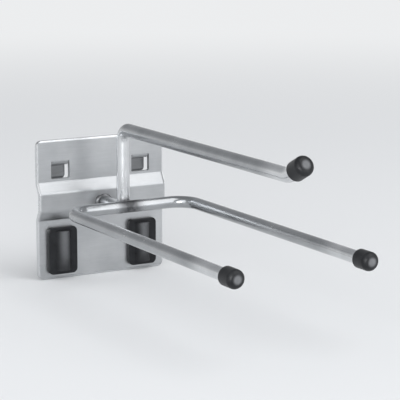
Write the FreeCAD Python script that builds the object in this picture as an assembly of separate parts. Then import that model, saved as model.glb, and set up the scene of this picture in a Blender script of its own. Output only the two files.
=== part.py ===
import FreeCAD, Part
import math
import os

# Pegboard hook with three prongs for square holes at 38 mm pitch.
# Millimetres. X to the right, +Z up, prongs toward -Y.
# The origin is on the plate's rear face, midway between the two lower holes of the grid.

os.makedirs("parts", exist_ok=True)

# Hole grid that the hook fits
hole_pitch = 38.0
hole_size = 10.0
lug_gap = 2.0

# Base plate, one pressing of zinc plated sheet
plate_side = 10.8
plate_above = 6.2
plate_below = 2.8
sheet = 1.75
plate_corner = 2.6
bend_inside = 1.0

# Pressed rib across the plate, between the clip openings and the square openings
rib_above_clips = 4.2
rib_below_windows = 1.8
rib_rise = 2.4
rib_slope = 4.2

# Square openings that the lugs are bent out of
window_width = 8.6
window_height = 7.55
window_corner = 0.6
lug_width = 7.4
lug_clearance = 0.1
lug_drop = 6.0
lug_tip_round = 1.6
lug_relief = 0.3

# Openings for the lock clips
clip_window_width = 11.6
clip_window_height = 18.8
clip_window_corner = 1.5
clip_window_mid_z = -3.2

# Lower wire, a U with two level prongs just below the rib's middle
lower_wire_dia = 5.0
lower_prong_offset = 28.0
lower_prong_drop = 0.1
lower_bend = 9.0
lower_end_reach = 162.5

# Upper wire: a short foot out of the rib, an upright leg, and one prong whose tip is turned up
upper_wire_dia = 5.5
foot_drop = 1.7
foot_bend = 4.0
leg_depth = 22.8
prong_gap = 32.2
upper_bend = 5.5
upper_tip_start = 150.0
upper_tip_bend = 9.0
upper_tip_angle = 27.0
upper_tip_straight = 8.6

# Weld joints: how far a wire is pressed into what it is welded to
weld_set_down = 0.35

# End caps of black plastic
cap_wall = 1.1
cap_length = 7.5
cap_floor = 1.5
cap_round = 2.0

# Lock clips of black plastic
clip_lip = 0.8
clip_plate_depth = 2.1
clip_corner = 2.2
clip_barrel_width = 7.0
clip_barrel_rise = 2.0
clip_fit = 0.1
clip_leg_width = 8.8
clip_leg_thickness = 2.2
clip_leg_spread = 8.6
clip_leg_length = 5.0
clip_barb = 0.6
clip_edge = 0.4


def vec(x, y, z):
    return FreeCAD.Vector(x, y, z)


def rounded_wire(points, radii):
    """Closed wire through the points, each corner rounded by its radius."""
    count = len(points)
    edges = []
    starts = []
    ends = []
    arcs = []
    for i in range(count):
        here = points[i]
        back = (points[i - 1] - here).normalize()
        ahead = (points[(i + 1) % count] - here).normalize()
        radius = radii[i]
        if radius <= 0:
            starts.append(here)
            ends.append(here)
            arcs.append(None)
            continue
        half = math.acos(max(-1.0, min(1.0, back.dot(ahead)))) / 2.0
        reach = radius / math.tan(half)
        first = here + back * reach
        last = here + ahead * reach
        centre = here + (back + ahead).normalize() * (radius / math.sin(half))
        middle = centre + (here - centre).normalize() * radius
        starts.append(first)
        ends.append(last)
        arcs.append(Part.Arc(first, middle, last).toShape())
    for i in range(count):
        if arcs[i] is not None:
            edges.append(arcs[i])
        following = starts[(i + 1) % count]
        if ends[i].distanceToPoint(following) > 1e-6:
            edges.append(Part.makeLine(ends[i], following))
    return Part.Wire(Part.__sortEdges__(edges))


def prism(points, radii, push):
    return Part.Face(rounded_wire(points, radii)).extrude(push)


def upright_block(width, height, corner, mid_x, mid_z, rear, front):
    """Block with rounded upright corners, from y = -rear to y = -front."""
    half_w = width / 2.0
    half_h = height / 2.0
    points = [
        vec(mid_x - half_w, -rear, mid_z - half_h),
        vec(mid_x + half_w, -rear, mid_z - half_h),
        vec(mid_x + half_w, -rear, mid_z + half_h),
        vec(mid_x - half_w, -rear, mid_z + half_h),
    ]
    return prism(points, [corner] * 4, vec(0, rear - front, 0))


def side_prism(profile, radii, mid_x, width):
    """Solid from (depth in front of the rear face, height) pairs, centred on mid_x."""
    points = [vec(mid_x - width / 2.0, -depth, height) for depth, height in profile]
    return prism(points, radii, vec(width, 0, 0))


def sweep(path, radius):
    """Round bar along a wire of edges."""
    spine = Part.Wire(path)
    start = spine.OrderedEdges[0]
    point = start.valueAt(start.FirstParameter)
    tangent = start.tangentAt(start.FirstParameter)
    if start.Orientation == "Reversed":
        point = start.valueAt(start.LastParameter)
        tangent = start.tangentAt(start.LastParameter) * -1
    ring = Part.Wire(Part.makeCircle(radius, point, tangent))
    return spine.makePipeShell([ring], True, False)


def save(shape, node):
    shape = shape.removeSplitter()
    if not shape.isValid():
        raise RuntimeError(node + " is not a valid solid")
    shape.exportStep("parts/" + node + ".step")
    print(node, "volume", round(shape.Volume, 1), "solids", len(shape.Solids))
    return shape


# Base plate
plate_width = hole_pitch + 2.0 * plate_side
plate_top_z = hole_pitch + plate_above
plate_bottom_z = clip_window_mid_z - clip_window_height / 2.0 - plate_below
plate_height = plate_top_z - plate_bottom_z
lug_underside = hole_pitch - hole_size / 2.0 + lug_clearance
window_top = lug_underside + sheet + lug_relief
window_low = window_top - window_height
rib_top = window_low - rib_below_windows
rib_low = clip_window_mid_z + clip_window_height / 2.0 + rib_above_clips
bend_outside = bend_inside + sheet
skew = sheet * math.tan(math.atan2(rib_rise, rib_slope) / 2.0)
plate_profile = [
    (0.0, plate_bottom_z),
    (0.0, rib_low),
    (rib_rise, rib_low + rib_slope),
    (rib_rise, rib_top - rib_slope),
    (0.0, rib_top),
    (0.0, plate_top_z),
    (sheet, plate_top_z),
    (sheet, rib_top + skew),
    (rib_rise + sheet, rib_top - rib_slope + skew),
    (rib_rise + sheet, rib_low + rib_slope - skew),
    (sheet, rib_low - skew),
    (sheet, plate_bottom_z),
]
plate_radii = [
    0,
    bend_outside,
    bend_inside,
    bend_inside,
    bend_outside,
    0,
    0,
    bend_inside,
    bend_outside,
    bend_outside,
    bend_inside,
    0,
]
plate = side_prism(plate_profile, plate_radii, 0.0, plate_width)
plate_mid_z = plate_top_z - plate_height / 2.0
outline = upright_block(plate_width, plate_height, plate_corner, 0.0, plate_mid_z, -1.0, rib_rise + sheet + 1.0)
plate = plate.common(outline)

for side in (-1, 1):
    mid_x = side * hole_pitch / 2.0
    window = upright_block(
        window_width,
        window_height,
        window_corner,
        mid_x,
        (window_top + window_low) / 2.0,
        -1.0,
        sheet + 1.0,
    )
    clip_window = upright_block(
        clip_window_width,
        clip_window_height,
        clip_window_corner,
        mid_x,
        clip_window_mid_z,
        -1.0,
        sheet + 1.0,
    )
    plate = plate.cut(window).cut(clip_window)

for side in (-1, 1):
    mid_x = side * hole_pitch / 2.0
    lug_profile = [
        (sheet, window_top + 0.2),
        (sheet, lug_underside),
        (-lug_gap, lug_underside),
        (-lug_gap, lug_underside - lug_drop),
        (-lug_gap - sheet, lug_underside - lug_drop),
        (-lug_gap - sheet, lug_underside + sheet),
        (0.0, lug_underside + sheet),
        (0.0, window_top + 0.2),
    ]
    lug_radii = [0, bend_outside * 0.8, bend_inside * 0.6, 0.6, 0.3, bend_outside * 0.6, bend_inside * 0.3, 0]
    lug = side_prism(lug_profile, lug_radii, mid_x, lug_width)
    trim = upright_block(
        lug_width,
        lug_drop + 12.0,
        lug_tip_round,
        mid_x,
        lug_underside - lug_drop + (lug_drop + 12.0) / 2.0,
        -20.0,
        20.0,
    )
    plate = plate.fuse(lug.common(trim))
base_plate = save(plate, "base_plate")

# Wires: the upright leg stands clear of the rib on its own bent foot, the lower wire lies across the leg
rib_front = rib_rise + sheet
lower_prong_z = (rib_top + rib_low) / 2.0 - lower_prong_drop
upper_prong_z = lower_prong_z + prong_gap
lower_radius = lower_wire_dia / 2.0
upper_radius = upper_wire_dia / 2.0
foot_z = lower_prong_z - foot_drop
outer_bend = foot_bend + upper_radius
below_tangent = foot_z + foot_bend - lower_prong_z
leg_front = leg_depth - foot_bend + math.sqrt(outer_bend ** 2 - below_tangent ** 2)
bar_depth = leg_front + lower_radius - weld_set_down
corner_depth = bar_depth + lower_bend
inner_x = lower_prong_offset - lower_bend
swing = lower_bend * math.sin(math.pi / 4.0)
left_mid = vec(-inner_x - swing, -(corner_depth - swing), lower_prong_z)
right_mid = vec(inner_x + swing, -(corner_depth - swing), lower_prong_z)
left_tip = vec(-lower_prong_offset, -lower_end_reach, lower_prong_z)
left_back = vec(-lower_prong_offset, -corner_depth, lower_prong_z)
left_bar = vec(-inner_x, -bar_depth, lower_prong_z)
right_bar = vec(inner_x, -bar_depth, lower_prong_z)
right_back = vec(lower_prong_offset, -corner_depth, lower_prong_z)
right_tip = vec(lower_prong_offset, -lower_end_reach, lower_prong_z)
lower_path = [
    Part.makeLine(left_tip, left_back),
    Part.Arc(left_back, left_mid, left_bar).toShape(),
    Part.makeLine(left_bar, right_bar),
    Part.Arc(right_bar, right_mid, right_back).toShape(),
    Part.makeLine(right_back, right_tip),
]
lower = sweep(lower_path, lower_radius)

# Upper wire
foot_start = vec(0, weld_set_down - rib_front, foot_z)
foot_end = vec(0, foot_bend - leg_depth, foot_z)
foot_share = foot_bend * (1.0 - math.cos(math.pi / 4.0))
foot_mid = vec(0, foot_share - leg_depth, foot_z + foot_share)
leg_low = vec(0, -leg_depth, foot_z + foot_bend)
leg_top = vec(0, -leg_depth, upper_prong_z - upper_bend)
bend_share = upper_bend * (1.0 - math.cos(math.pi / 4.0))
leg_mid = vec(0, -leg_depth - bend_share, upper_prong_z - bend_share)
prong_start = vec(0, -leg_depth - upper_bend, upper_prong_z)
tip_start = vec(0, -upper_tip_start, upper_prong_z)
tip_angle = math.radians(upper_tip_angle)


def along_tip_bend(angle):
    forward = upper_tip_bend * math.sin(angle)
    rise = upper_tip_bend * (1.0 - math.cos(angle))
    return vec(0, -upper_tip_start - forward, upper_prong_z + rise)


tip_bent = along_tip_bend(tip_angle)
tip_dir = vec(0, -math.cos(tip_angle), math.sin(tip_angle))
tip_end = tip_bent + tip_dir * upper_tip_straight
upper_path = [
    Part.makeLine(foot_start, foot_end),
    Part.Arc(foot_end, foot_mid, leg_low).toShape(),
    Part.makeLine(leg_low, leg_top),
    Part.Arc(leg_top, leg_mid, prong_start).toShape(),
    Part.makeLine(prong_start, tip_start),
    Part.Arc(tip_start, along_tip_bend(tip_angle / 2.0), tip_bent).toShape(),
    Part.makeLine(tip_bent, tip_end),
]
upper = sweep(upper_path, upper_radius)
upper_wire = save(upper.cut(base_plate), "upper_wire")
lower_wire = save(lower.cut(upper_wire), "lower_wire")


# End caps
def end_cap(wire_radius, wire_end, direction):
    """Soft cap over a wire end, closed end ahead of it."""
    outer = wire_radius + cap_wall
    start = cap_floor - cap_length
    profile = [
        vec(wire_radius, 0, start),
        vec(outer, 0, start),
        vec(outer, 0, cap_floor),
        vec(0, 0, cap_floor),
        vec(0, 0, 0),
        vec(wire_radius, 0, 0),
    ]
    radii = [0, 0, cap_round, 0, 0, 0]
    cap = Part.Face(rounded_wire(profile, radii)).revolve(vec(0, 0, 0), vec(0, 0, 1), 360)
    turn = FreeCAD.Rotation(vec(0, 0, 1), direction)
    cap.Placement = FreeCAD.Placement(wire_end, turn)
    return cap


forward = vec(0, -1, 0)
save(end_cap(lower_radius, left_tip, forward), "cap_lower_left")
save(end_cap(lower_radius, right_tip, forward), "cap_lower_right")
save(end_cap(upper_radius, tip_end, tip_dir), "cap_upper")


# Lock clips
def lock_clip(mid_x):
    """Clip pressed into the plate's opening, with legs that snap into a hole behind it."""
    face_w = clip_window_width + 2.0 * clip_lip
    face_h = clip_window_height + 2.0 * clip_lip
    front = sheet + clip_plate_depth
    mid_z = clip_window_mid_z
    face = upright_block(face_w, face_h, clip_corner, mid_x, mid_z, sheet, front)
    front_edges = []
    for edge in face.Edges:
        box = edge.BoundBox
        if abs(box.YMin + front) < 1e-6 and abs(box.YMax + front) < 1e-6:
            front_edges.append(edge)
    face = face.makeFillet(clip_edge, front_edges)
    plug = upright_block(
        clip_window_width - 2.0 * clip_fit,
        clip_window_height - 2.0 * clip_fit,
        clip_window_corner - clip_fit,
        mid_x,
        mid_z,
        0.1,
        sheet + 0.2,
    )
    half = clip_barrel_width / 2.0
    barrel_radius = (half * half + clip_barrel_rise * clip_barrel_rise) / (2.0 * clip_barrel_rise)
    barrel_depth = front + clip_barrel_rise - barrel_radius
    barrel_low = mid_z - face_h / 2.0 + 1.6
    barrel = Part.makeCylinder(barrel_radius, face_h - 3.2, vec(mid_x, -barrel_depth, barrel_low), vec(0, 0, 1))
    keep = Part.makeBox(face_w, 20.0, face_h, vec(mid_x - face_w / 2.0, -front - 10.0, mid_z - face_h / 2.0))
    keep = keep.cut(Part.makeBox(face_w, 20.0, face_h, vec(mid_x - face_w / 2.0, -front + 0.4, mid_z - face_h / 2.0)))
    barrel = barrel.common(keep)
    clip = face.fuse(plug).fuse(barrel)
    for way in (-1, 1):
        outer = way * clip_leg_spread / 2.0
        inner = outer - way * clip_leg_thickness
        leg_profile = [
            (0.3, inner),
            (-clip_leg_length, inner),
            (-clip_leg_length, outer - way * 0.9),
            (-lug_gap - 0.4, outer + way * clip_barb),
            (-lug_gap, outer),
            (0.3, outer),
        ]
        clip = clip.fuse(side_prism(leg_profile, [0, 0, 0, 0.2, 0, 0], mid_x, clip_leg_width))
    return clip


save(lock_clip(-hole_pitch / 2.0), "clip_left")
save(lock_clip(hole_pitch / 2.0), "clip_right")
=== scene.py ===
import bpy
import math
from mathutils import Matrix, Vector


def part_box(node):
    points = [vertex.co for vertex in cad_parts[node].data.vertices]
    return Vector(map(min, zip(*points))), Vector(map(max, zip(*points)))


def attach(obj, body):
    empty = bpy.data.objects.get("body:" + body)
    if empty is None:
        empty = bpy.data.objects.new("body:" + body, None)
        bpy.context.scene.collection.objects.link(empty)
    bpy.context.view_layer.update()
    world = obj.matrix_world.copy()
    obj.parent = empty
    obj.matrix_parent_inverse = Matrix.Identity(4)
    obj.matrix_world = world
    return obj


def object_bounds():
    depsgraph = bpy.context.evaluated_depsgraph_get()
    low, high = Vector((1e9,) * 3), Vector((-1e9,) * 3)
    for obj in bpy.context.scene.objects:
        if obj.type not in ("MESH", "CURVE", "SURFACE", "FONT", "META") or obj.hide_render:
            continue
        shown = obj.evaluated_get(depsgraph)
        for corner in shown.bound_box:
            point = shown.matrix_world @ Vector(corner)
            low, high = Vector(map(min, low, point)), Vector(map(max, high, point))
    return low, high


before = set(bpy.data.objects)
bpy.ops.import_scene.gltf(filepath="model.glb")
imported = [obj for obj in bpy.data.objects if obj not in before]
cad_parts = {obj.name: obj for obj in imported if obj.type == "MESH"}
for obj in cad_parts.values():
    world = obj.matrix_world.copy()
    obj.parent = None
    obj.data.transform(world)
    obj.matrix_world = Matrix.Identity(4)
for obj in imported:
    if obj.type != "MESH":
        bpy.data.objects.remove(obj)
cadLow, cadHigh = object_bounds()
print("frame loaded:", len(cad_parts), "nodes")

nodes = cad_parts
scene = bpy.context.scene


# camera

cameraSettings = {
    "place": (-0.32735, -0.66757, 0.15726),  # where the photograph was taken from, in the part's frame
    "aim": (0.0060, -0.0775, 0.0285),
    "lens": 158.0,
    "sensor": 36.0,
    "nearest": 0.01,
    "furthest": 60.0,
}


def pointFrom(item, place, aim):
    item.location = place
    look = Vector(aim) - Vector(place)
    item.rotation_mode = "QUATERNION"
    item.rotation_quaternion = look.to_track_quat("-Z", "Y")


def makeCamera(s):
    data = bpy.data.cameras.new("camera")
    data.lens = s["lens"]
    data.sensor_width = s["sensor"]
    data.clip_start = s["nearest"]
    data.clip_end = s["furthest"]
    cam = bpy.data.objects.new("camera", data)
    scene.collection.objects.link(cam)
    pointFrom(cam, s["place"], s["aim"])
    scene.camera = cam


makeCamera(cameraSettings)
scene.view_settings.view_transform = "Standard"


# lamps

coolWhite = (0.97, 0.985, 1.0)
lampAim = (0.0, -0.05, 0.02)
lampSettings = [
    {"name": "keyLeft", "place": (-1.9, -1.3, 0.95), "size": 2.3, "power": 24.0, "tint": coolWhite},
    {"name": "overhead", "place": (0.7, -1.1, 1.8), "size": 1.8, "power": 17.0, "tint": (1.0, 1.0, 1.0)},
    {"name": "fillRight", "place": (1.0, -1.95, 0.66), "size": 1.25, "power": 8.5, "tint": (0.98, 0.99, 1.0)},
    {"name": "frontSoft", "place": (-1.15, -1.9, 0.2), "size": 1.3, "power": 36.0, "tint": coolWhite},
]


def makeLamp(s):
    data = bpy.data.lights.new(s["name"], "AREA")
    data.shape = "SQUARE"
    data.size = s["size"]
    data.energy = s["power"]
    data.color = s["tint"]
    lamp = bpy.data.objects.new(s["name"], data)
    scene.collection.objects.link(lamp)
    pointFrom(lamp, s["place"], lampAim)


for lampEntry in lampSettings:
    makeLamp(lampEntry)
print("camera and lamps made")


# shader writing

class Sock:
    # one socket, so that node maths reads as an expression

    def __init__(self, tree, link):
        self.tree = tree
        self.link = link

    def math(self, op, other, flip=False):
        pair = (other, self) if flip else (self, other)
        return addNode(self.tree, "ShaderNodeMath", {"operation": op}, {0: pair[0], 1: pair[1]})

    def __add__(self, other):
        return self.math("ADD", other)

    def __radd__(self, other):
        return self.math("ADD", other, True)

    def __sub__(self, other):
        return self.math("SUBTRACT", other)

    def __rsub__(self, other):
        return self.math("SUBTRACT", other, True)

    def __mul__(self, other):
        return self.math("MULTIPLY", other)

    def __rmul__(self, other):
        return self.math("MULTIPLY", other, True)

    def __abs__(self):
        return addNode(self.tree, "ShaderNodeMath", {"operation": "ABSOLUTE"}, {0: self})

    def larger(self, other):
        return self.math("MAXIMUM", other)

    def smaller(self, other):
        return self.math("MINIMUM", other)


def setStops(ramp, stops):
    while len(ramp.elements) > 1:
        ramp.elements.remove(ramp.elements[-1])
    for i, (spot, tone) in enumerate(stops):
        stop = ramp.elements[0] if i == 0 else ramp.elements.new(spot)
        stop.position = spot
        stop.color = (*tone, 1.0)


def addNode(tree, kind, settings=None, values=None, out=0):
    node = tree.nodes.new(kind)
    for key, value in (settings or {}).items():
        if key == "stops":
            setStops(node.color_ramp, value)
        else:
            setattr(node, key, value)
    for key, value in (values or {}).items():
        if isinstance(value, Sock):
            tree.links.new(value.link, node.inputs[key])
        elif isinstance(value, tuple) and len(value) == 3 and len(node.inputs[key].default_value) == 4:
            node.inputs[key].default_value = (*value, 1.0)
        else:
            node.inputs[key].default_value = value
    return Sock(tree, node.outputs[out]) if node.outputs else None


def newMaterial(name):
    mat = bpy.data.materials.new(name)
    mat.use_nodes = True
    tree = mat.node_tree
    tree.nodes.clear()
    return mat, tree


def objectCoords(tree):
    return addNode(tree, "ShaderNodeTexCoord", out=3)


def stretched(coords, scale):
    return addNode(coords.tree, "ShaderNodeMapping", {}, {"Vector": coords, "Scale": scale})


def noise(coords, settings):
    # settings are scale, detail and roughness
    scale, detail, rough = settings
    return addNode(coords.tree, "ShaderNodeTexNoise", {"noise_dimensions": "3D"},
                   {"Vector": coords, "Scale": scale, "Detail": detail, "Roughness": rough})


def ramp(value, stops):
    return addNode(value.tree, "ShaderNodeValToRGB", {"stops": stops}, {"Fac": value})


def mixColour(factor, first, second):
    return addNode(factor.tree, "ShaderNodeMix", {"data_type": "RGBA"}, {0: factor, 6: first, 7: second}, out=2)


def mapRange(value, start, end, first=0.0, last=1.0, smooth=False):
    # first at start, last at end, and level beyond them
    shape = "SMOOTHSTEP" if smooth else "LINEAR"
    return addNode(value.tree, "ShaderNodeMapRange", {"interpolation_type": shape},
                   {"Value": value, "From Min": start, "From Max": end, "To Min": first, "To Max": last})


def nearSpot(coords, spot, inner, outer):
    # 1 inside inner, 0 beyond outer, by distance from a point in metres
    gap = addNode(coords.tree, "ShaderNodeVectorMath", {"operation": "DISTANCE"}, {0: coords, 1: spot}, out=1)
    return mapRange(gap, inner, outer, 1.0, 0.0, smooth=True)


def spotMask(coords, spots, core):
    # each spot is x, y, z and reach, full strength inside core of its reach
    mask = None
    for *spot, reach in spots:
        here = nearSpot(coords, tuple(spot), reach * core, reach)
        mask = mask.larger(here) if mask else here
    return mask


def axisValue(coords, axis):
    return addNode(coords.tree, "ShaderNodeSeparateXYZ", {}, {"Vector": coords}, out=axis)


def around(value, amount):
    # a noise's swing to both sides of its middle
    return (value - 0.5) * amount


def bumpFrom(height, strength, distance, under=None):
    values = {"Strength": strength, "Distance": distance, "Height": height}
    if under:
        values["Normal"] = under
    return addNode(height.tree, "ShaderNodeBump", {}, values)


def finishMaterial(tree, fixed, tone, rough, bump):
    values = {**fixed, "Base Color": tone, "Roughness": rough, "Normal": bump}
    shader = addNode(tree, "ShaderNodeBsdfPrincipled", {}, values)
    addNode(tree, "ShaderNodeOutputMaterial", {}, {0: shader})


# floor and background

lightPathRays = {"camera": 0, "glossy": 3, "transmission": 6}


def seenDirectly(tree):
    # 1 for camera, mirror and see-through rays
    rays = [addNode(tree, "ShaderNodeLightPath", out=kind) for kind in lightPathRays.values()]
    return rays[0].larger(rays[1]).larger(rays[2])


paleBackground = (0.84, 0.85, 0.86)
floorSettings = {
    "size": 14.0,
    "height": cadLow.z - 0.0002,
    "colour": (0.80, 0.81, 0.82),
    "near": 0.32,  # the floor takes the object's shadow this far, and is plain background beyond far
    "far": 1.15,
    "distance": paleBackground,
}


def makeFloor(s):
    bpy.ops.object.select_all(action="DESELECT")
    bpy.ops.mesh.primitive_plane_add(size=s["size"], location=(0.0, 0.0, s["height"]))
    floor = bpy.context.object
    floor.name = "floor"
    mat, tree = newMaterial("paleFloor")
    near = nearSpot(objectCoords(tree), (0.0, 0.0, 0.0), s["near"], s["far"])
    fade = (1.0 - near) * seenDirectly(tree)
    paint = addNode(tree, "ShaderNodeBsdfDiffuse", {}, {0: s["colour"]})
    glow = addNode(tree, "ShaderNodeEmission", {}, {0: s["distance"]})
    blend = addNode(tree, "ShaderNodeMixShader", {}, {0: fade, 1: paint, 2: glow})
    addNode(tree, "ShaderNodeOutputMaterial", {}, {0: blend})
    floor.data.materials.append(mat)


makeFloor(floorSettings)

worldSettings = {
    # what lights the object, from the horizon up
    "room": [(0.0, (0.34, 0.35, 0.37)), (0.7, (0.97, 0.98, 1.0))],
    "roomStrength": 0.6,
    # what is seen and mirrored: pale at the horizon, greyer above, which gives the metal its contrast
    "backdrop": [(0.03, paleBackground), (0.28, (0.48, 0.49, 0.505)), (0.7, (0.36, 0.37, 0.385))],
}


def makeWorld(s):
    world = bpy.data.worlds.new("studio")
    scene.world = world
    world.use_nodes = True
    tree = world.node_tree
    tree.nodes.clear()
    up = axisValue(addNode(tree, "ShaderNodeTexCoord", out=0), 2)
    direct = seenDirectly(tree)
    sky = mixColour(direct, ramp(up, s["room"]), ramp(up, s["backdrop"]))
    strength = direct * (1.0 - s["roomStrength"]) + s["roomStrength"]
    back = addNode(tree, "ShaderNodeBackground", {}, {0: sky, 1: strength})
    addNode(tree, "ShaderNodeOutputWorld", {}, {0: back})


makeWorld(worldSettings)
print("floor and background made")


# zinc plated sheet

sheetFinish = {
    "dark": (0.41, 0.42, 0.432),
    "light": (0.51, 0.52, 0.53),
    "cloud": (55.0, 4.0, 0.55),
    "specks": (900.0, 2.0, 0.6),
    "grain": (1.0, 3.0, 0.6),
    "grainStretch": (120.0, 300.0, 2600.0),  # long along X, fine along Z, as the sheet was rolled
    "streak": (0.96, 1.03),
    "contrast": (0.3, 0.7),
    # painted highlight: a lighter colour along the plate's outline
    "edge": (0.72, 0.73, 0.74),
    "edgeWidth": 0.0009,
    "edgeHighlightShare": 0.8,
    "behind": 0.45,  # painted shade: how much darker the lugs are behind the plate
    "behindDepth": (-0.0006, 0.0012),
    # heat tint round the weld of the leg's foot on the rib
    "weldDark": (0.24, 0.243, 0.25),
    "heatCore": 0.45,
    "weldDarkLeast": 0.15,
    "heatByCloud": 0.9,
    "roughness": 0.34,
    "roughByCloud": 0.16,
    "roughBySpecks": 0.10,
    "roughByEdge": 0.08,
    "roughByWeldDark": 0.1,
    "grainBump": (0.05, 0.0002),
    "edgeBump": (0.35, 0.0006),
}


def edgeGap(coords, low, high):
    # distance in metres to the plate's outline, seen from the front
    z = axisValue(coords, 2)
    gapSide = high.x - abs(axisValue(coords, 0))
    return (high.z - z).smaller(z - low.z).smaller(gapSide)


def zincSheet(s, low, high, weldSpot):
    mat, tree = newMaterial("zincSheet")
    coords = objectCoords(tree)
    cloud = noise(coords, s["cloud"])
    grain = noise(stretched(coords, s["grainStretch"]), s["grain"])
    specks = noise(coords, s["specks"])
    tone = mixColour(mapRange(cloud, *s["contrast"]), s["dark"], s["light"])
    streak = mapRange(grain, *s["contrast"], *s["streak"])
    # painted shade: the lugs are darkened behind the plate
    front = mapRange(axisValue(coords, 1), *s["behindDepth"], 1.0, s["behind"])
    tone = addNode(tree, "ShaderNodeVectorMath", {"operation": "SCALE"}, {0: tone, "Scale": streak * front})
    # painted highlight along the plate's outline; the same rim mask also lowers the roughness and rounds the
    # edge in the bump
    rim = mapRange(edgeGap(coords, low, high), 0.0, s["edgeWidth"], 1.0, 0.0, smooth=True)
    tone = mixColour(rim * s["edgeHighlightShare"], tone, s["edge"])
    weldDark = spotMask(coords, [weldSpot], s["heatCore"]) * (s["weldDarkLeast"] + cloud * s["heatByCloud"])
    tone = mixColour(weldDark, tone, s["weldDark"])
    rough = s["roughness"] + around(cloud, s["roughByCloud"]) + around(specks, s["roughBySpecks"])
    rough = rough - rim * s["roughByEdge"] + weldDark * s["roughByWeldDark"]
    bump = bumpFrom(1.0 - rim, *s["edgeBump"], under=bumpFrom(grain, *s["grainBump"]))
    finishMaterial(tree, {"Metallic": 1.0}, tone, rough, bump)
    return mat


# zinc plated wire

wireFinish = {
    "dark": (0.37, 0.38, 0.392),
    "light": (0.46, 0.47, 0.48),
    "cloud": (90.0, 3.0, 0.5),
    "drawn": (1.0, 2.0, 0.6),
    "fine": (700.0, 2.0, 0.6),
    "blotch": (420.0, 3.0, 0.6),
    "contrast": (0.3, 0.7),
    "spotCore": 0.4,
    "rubbed": (0.80, 0.81, 0.82),  # painted highlight near the caps and up the leg
    "rubLeast": 0.35,
    "rubByCloud": 0.7,
    # heat tint at the welds
    "weldDark": (0.15, 0.152, 0.158),
    "weldDarkLeast": 0.1,
    "weldDarkByBlotch": 1.3,
    "weldDarkMost": 0.8,
    "roughness": 0.25,
    "roughByCloud": 0.10,
    "roughByDrawn": 0.05,
    "roughByFine": 0.04,
    "roughByRub": 0.06,
    "roughByWeldDark": 0.2,
    "drawnBump": (0.012, 0.0002),
}
# the bar is much darker where the leg crosses it than the other wires are at their welds
barFinish = {**wireFinish, "weldDark": (0.06, 0.061, 0.064), "weldDarkLeast": 0.35, "weldDarkMost": 0.93}


def zincWire(name, s, weldSpots, highlightSpots, drawnStretch):
    mat, tree = newMaterial(name)
    coords = objectCoords(tree)
    cloud = noise(coords, s["cloud"])
    drawn = noise(stretched(coords, drawnStretch), s["drawn"])
    fine = noise(coords, s["fine"])
    blotch = noise(coords, s["blotch"])
    tone = mixColour(mapRange(cloud, *s["contrast"]), s["dark"], s["light"])
    # painted highlight: lighter near the caps and up the leg
    highlightMask = spotMask(coords, highlightSpots, s["spotCore"]) * (s["rubLeast"] + cloud * s["rubByCloud"])
    tone = mixColour(highlightMask, tone, s["rubbed"])
    weldDark = spotMask(coords, weldSpots, s["spotCore"]) * (s["weldDarkLeast"] + blotch * s["weldDarkByBlotch"])
    weldDark = weldDark.smaller(s["weldDarkMost"])
    tone = mixColour(weldDark, tone, s["weldDark"])
    rough = s["roughness"] + around(cloud, s["roughByCloud"]) + around(drawn, s["roughByDrawn"])
    rough = rough + around(fine, s["roughByFine"]) - highlightMask * s["roughByRub"] + weldDark * s["roughByWeldDark"]
    finishMaterial(tree, {"Metallic": 1.0}, tone, rough, bumpFrom(drawn, *s["drawnBump"]))
    return mat


# black plastics

capFinish = {
    "colour": (0.010, 0.0105, 0.012),
    "worn": (0.024, 0.025, 0.027),
    "cloud": (220.0, 3.0, 0.6),
    "grain": (1500.0, 2.0, 0.6),
    "contrast": (0.35, 0.75),
    "rubbed": (0.17, 0.173, 0.18),  # painted highlight on the flat ends of the caps
    "rubLeast": 0.55,
    "rubByCloud": 0.6,
    "tipReach": 0.0022,
    "tipCore": 0.4,
    "gloss": 0.26,
    "roughness": 0.38,
    "roughByCloud": 0.18,
    "roughByGrain": 0.12,
    "roughByRub": 0.12,
    "grainBump": (0.12, 0.0001),
}
clipFinish = {
    "colour": (0.008, 0.0085, 0.010),
    "worn": (0.017, 0.018, 0.020),
    "cloud": (220.0, 3.0, 0.6),
    "grain": (1900.0, 2.0, 0.6),
    "contrast": (0.35, 0.75),
    "rubbed": (0.115, 0.118, 0.124),  # painted highlight along the raised middle of the clips
    "rubLeast": 0.45,
    "rubByCloud": 0.8,
    "crownWidth": (0.0002, 0.0033),
    "crownDepth": 0.0022,
    "crownFoot": (0.002, 0.011),
    "crownFootShare": 0.15,
    "gloss": 0.22,
    "roughness": 0.32,
    "roughByCloud": 0.18,
    "roughByGrain": 0.12,
    "roughByRub": 0.1,
    "grainBump": (0.08, 0.0001),
}


# where the caps' flat ends get a painted highlight
def tipMask(coords, s, tips):
    return spotMask(coords, [(*tip, s["tipReach"]) for tip in tips], s["tipCore"])


def crownMask(coords, s, box):
    # 1 along the middle of a lock clip's front, where a highlight is painted, fading to its sides, its foot and
    # the plate, on both clips
    low, high = box
    offMiddle = abs(abs(axisValue(coords, 0)) - (low.x + high.x) / 2.0)
    footStart, footEnd = (low.z + lift for lift in s["crownFoot"])
    across = mapRange(offMiddle, *s["crownWidth"], 1.0, 0.0, smooth=True)
    outward = mapRange(axisValue(coords, 1), low.y, low.y + s["crownDepth"], 1.0, 0.0, smooth=True)
    upward = mapRange(axisValue(coords, 2), footStart, footEnd, s["crownFootShare"], 1.0, smooth=True)
    return across * outward * upward


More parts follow.
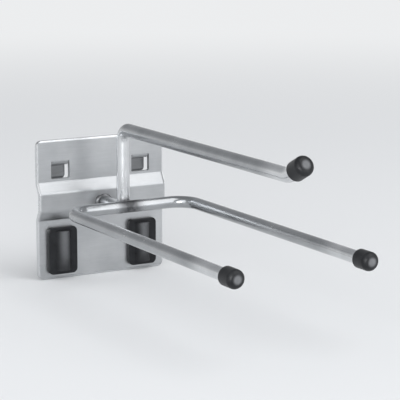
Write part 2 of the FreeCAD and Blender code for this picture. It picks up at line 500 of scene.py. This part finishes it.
def blackPlastic(name, s, makeMask, place):
    mat, tree = newMaterial(name)
    coords = objectCoords(tree)
    cloud = noise(coords, s["cloud"])
    grain = noise(coords, s["grain"])
    tone = mixColour(mapRange(cloud, *s["contrast"]), s["colour"], s["worn"])
    # painted highlight: lighter on the caps' flat ends and along the clips' raised middles
    highlightMask = makeMask(coords, s, place) * (s["rubLeast"] + cloud * s["rubByCloud"])
    tone = mixColour(highlightMask, tone, s["rubbed"])
    rough = s["roughness"] + around(cloud, s["roughByCloud"]) + around(grain, s["roughByGrain"])
    rough = rough + highlightMask * s["roughByRub"]
    finishMaterial(tree, {"Specular IOR Level": s["gloss"]}, tone, rough, bumpFrom(grain, *s["grainBump"]))
    return mat


# where the finishes change, measured on the nodes

plateLow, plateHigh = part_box("base_plate")
barLow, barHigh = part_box("lower_wire")
legLow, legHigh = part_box("upper_wire")
barMid = (barLow.z + barHigh.z) / 2.0
barThick = barHigh.z - barLow.z
legThick = legHigh.x - legLow.x
footMid = legLow.z + legThick / 2.0  # height of the leg's bent foot
crossing = barHigh.y - 0.0002  # where the fork's bar touches the leg

spotReach = {
    "rearWeld": 0.0085,
    "barWeld": 0.0088,
    "legWeld": 0.0052,
    "lowerCap": 0.026,
    "upperCap": 0.022,
    "leg": 0.016,
}
legLifts = (0.010, 0.022)  # heights of the leg's painted highlights above its foot


def capSpot(node, reach):
    low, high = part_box(node)
    return ((low.x + high.x) / 2.0, high.y, (low.z + high.z) / 2.0, reach)


def flatTip(node):
    # centre of the largest flat face that looks out along the prong
    outward = -0.6
    areas = {}
    for face in nodes[node].data.polygons:
        if face.normal.y < outward:
            key = tuple(round(v, 2) for v in face.normal)
            total, spot = areas.get(key, (0.0, Vector()))
            areas[key] = (total + face.area, spot + Vector(face.center) * face.area)
    total, spot = max(areas.values(), key=lambda entry: entry[0])
    return tuple(spot / total)


def dress(node, mat):
    piece = nodes[node]
    if not piece.data.materials:
        piece.data.materials.append(mat)
    for i in range(len(piece.data.materials)):
        piece.data.materials[i] = mat


rearWeld = (0.0, plateLow.y, footMid, spotReach["rearWeld"])
frontWeld = (0.0, crossing, barMid, spotReach["barWeld"])
legWeld = (0.0, crossing, barMid, spotReach["legWeld"])
lowerCapHighlights = [capSpot(node, spotReach["lowerCap"]) for node in ("cap_lower_left", "cap_lower_right")]
legHighlights = [(0.0, crossing + legThick / 2.0, footMid + lift, spotReach["leg"]) for lift in legLifts]
upperHighlights = [capSpot("cap_upper", spotReach["upperCap"])] + legHighlights
upperDrawn = (2200.0, 90.0, 300.0)
lowerDrawn = (500.0, 90.0, 2200.0)
capNodes = ("cap_lower_left", "cap_lower_right", "cap_upper")
clipNodes = ("clip_left", "clip_right")

dress("base_plate", zincSheet(sheetFinish, plateLow, plateHigh, rearWeld))
dress("upper_wire", zincWire("zincUpperWire", wireFinish, [rearWeld, legWeld], upperHighlights, upperDrawn))
dress("lower_wire", zincWire("zincLowerWire", barFinish, [frontWeld], lowerCapHighlights, lowerDrawn))
capPlastic = blackPlastic("capPlastic", capFinish, tipMask, [flatTip(node) for node in capNodes])
clipPlastic = blackPlastic("clipPlastic", clipFinish, crownMask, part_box("clip_right"))
for node in capNodes:
    dress(node, capPlastic)
for node in clipNodes:
    dress(node, clipPlastic)
print("finishes set on the carried-over nodes")


# weld beads

weldSettings = {
    "ringSteps": 64,
    "tubeSteps": 16,
    "lumps": 0.0008,
    "lumpScale": 0.0034,
    "ripple": 0.0004,
    "rippleScale": 0.0011,
    "colour": (0.26, 0.265, 0.272),
    "burnt": (0.12, 0.121, 0.125),
    "cloud": (500.0, 3.0, 0.6),
    "pits": (2600.0, 2.0, 0.6),
    "contrast": (0.35, 0.65),
    "roughness": 0.42,
    "roughByPits": 0.2,
    "pitBump": (0.35, 0.0002),
}
ribBead = {
    "name": "weldAtRib",
    "centre": (0.0, plateLow.y + 0.0001, footMid),
    "radius": legThick / 2.0 + 0.0002,
    "thickness": 0.0011,
    "flatten": 0.85,
}
crossingBead = {
    "name": "weldAtCrossing",
    "centre": (0.0, crossing, barMid),
    "radius": barThick * 0.37,
    "thickness": 0.0009,
    "flatten": 1.0,
}


def weldMaterial(s):
    mat, tree = newMaterial("weldZinc")
    coords = objectCoords(tree)
    pits = noise(coords, s["pits"])
    burn = mapRange(noise(coords, s["cloud"]), *s["contrast"])
    tone = mixColour(burn, s["burnt"], s["colour"])
    rough = s["roughness"] + around(pits, s["roughByPits"])
    finishMaterial(tree, {"Metallic": 1.0}, tone, rough, bumpFrom(pits, *s["pitBump"]))
    return mat


def cloudTexture(name, scale):
    texture = bpy.data.textures.new(name, "CLOUDS")
    texture.noise_scale = scale
    return texture


weldZinc = weldMaterial(weldSettings)
beadLayers = [
    ("lumps", cloudTexture("weldLumps", weldSettings["lumpScale"]), weldSettings["lumps"]),
    ("ripple", cloudTexture("weldRipple", weldSettings["rippleScale"]), weldSettings["ripple"]),
]


def weldRing(s, steps):
    bpy.ops.object.select_all(action="DESELECT")
    bpy.ops.mesh.primitive_torus_add(
        location=s["centre"],
        rotation=(math.radians(90.0), 0.0, 0.0),
        major_segments=steps["ringSteps"],
        minor_segments=steps["tubeSteps"],
        major_radius=s["radius"],
        minor_radius=s["thickness"],
    )
    bead = bpy.context.object
    bead.name = s["name"]
    bead.scale = (1.0, s["flatten"], 1.0)
    bpy.ops.object.transform_apply(location=True, rotation=True, scale=True)
    for layer, texture, strength in beadLayers:
        push = bead.modifiers.new(layer, "DISPLACE")
        push.texture = texture
        push.texture_coords = "LOCAL"
        push.mid_level = 0.5
        push.strength = strength
        bpy.ops.object.modifier_apply(modifier=layer)
    smooth = bead.modifiers.new("smooth", "SUBSURF")
    smooth.levels = 1
    smooth.render_levels = 1
    bpy.ops.object.modifier_apply(modifier="smooth")
    bpy.ops.object.shade_smooth()
    bead.data.materials.append(weldZinc)
    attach(bead, "root")


weldRing(ribBead, weldSettings)
weldRing(crossingBead, weldSettings)
print("weld beads made")
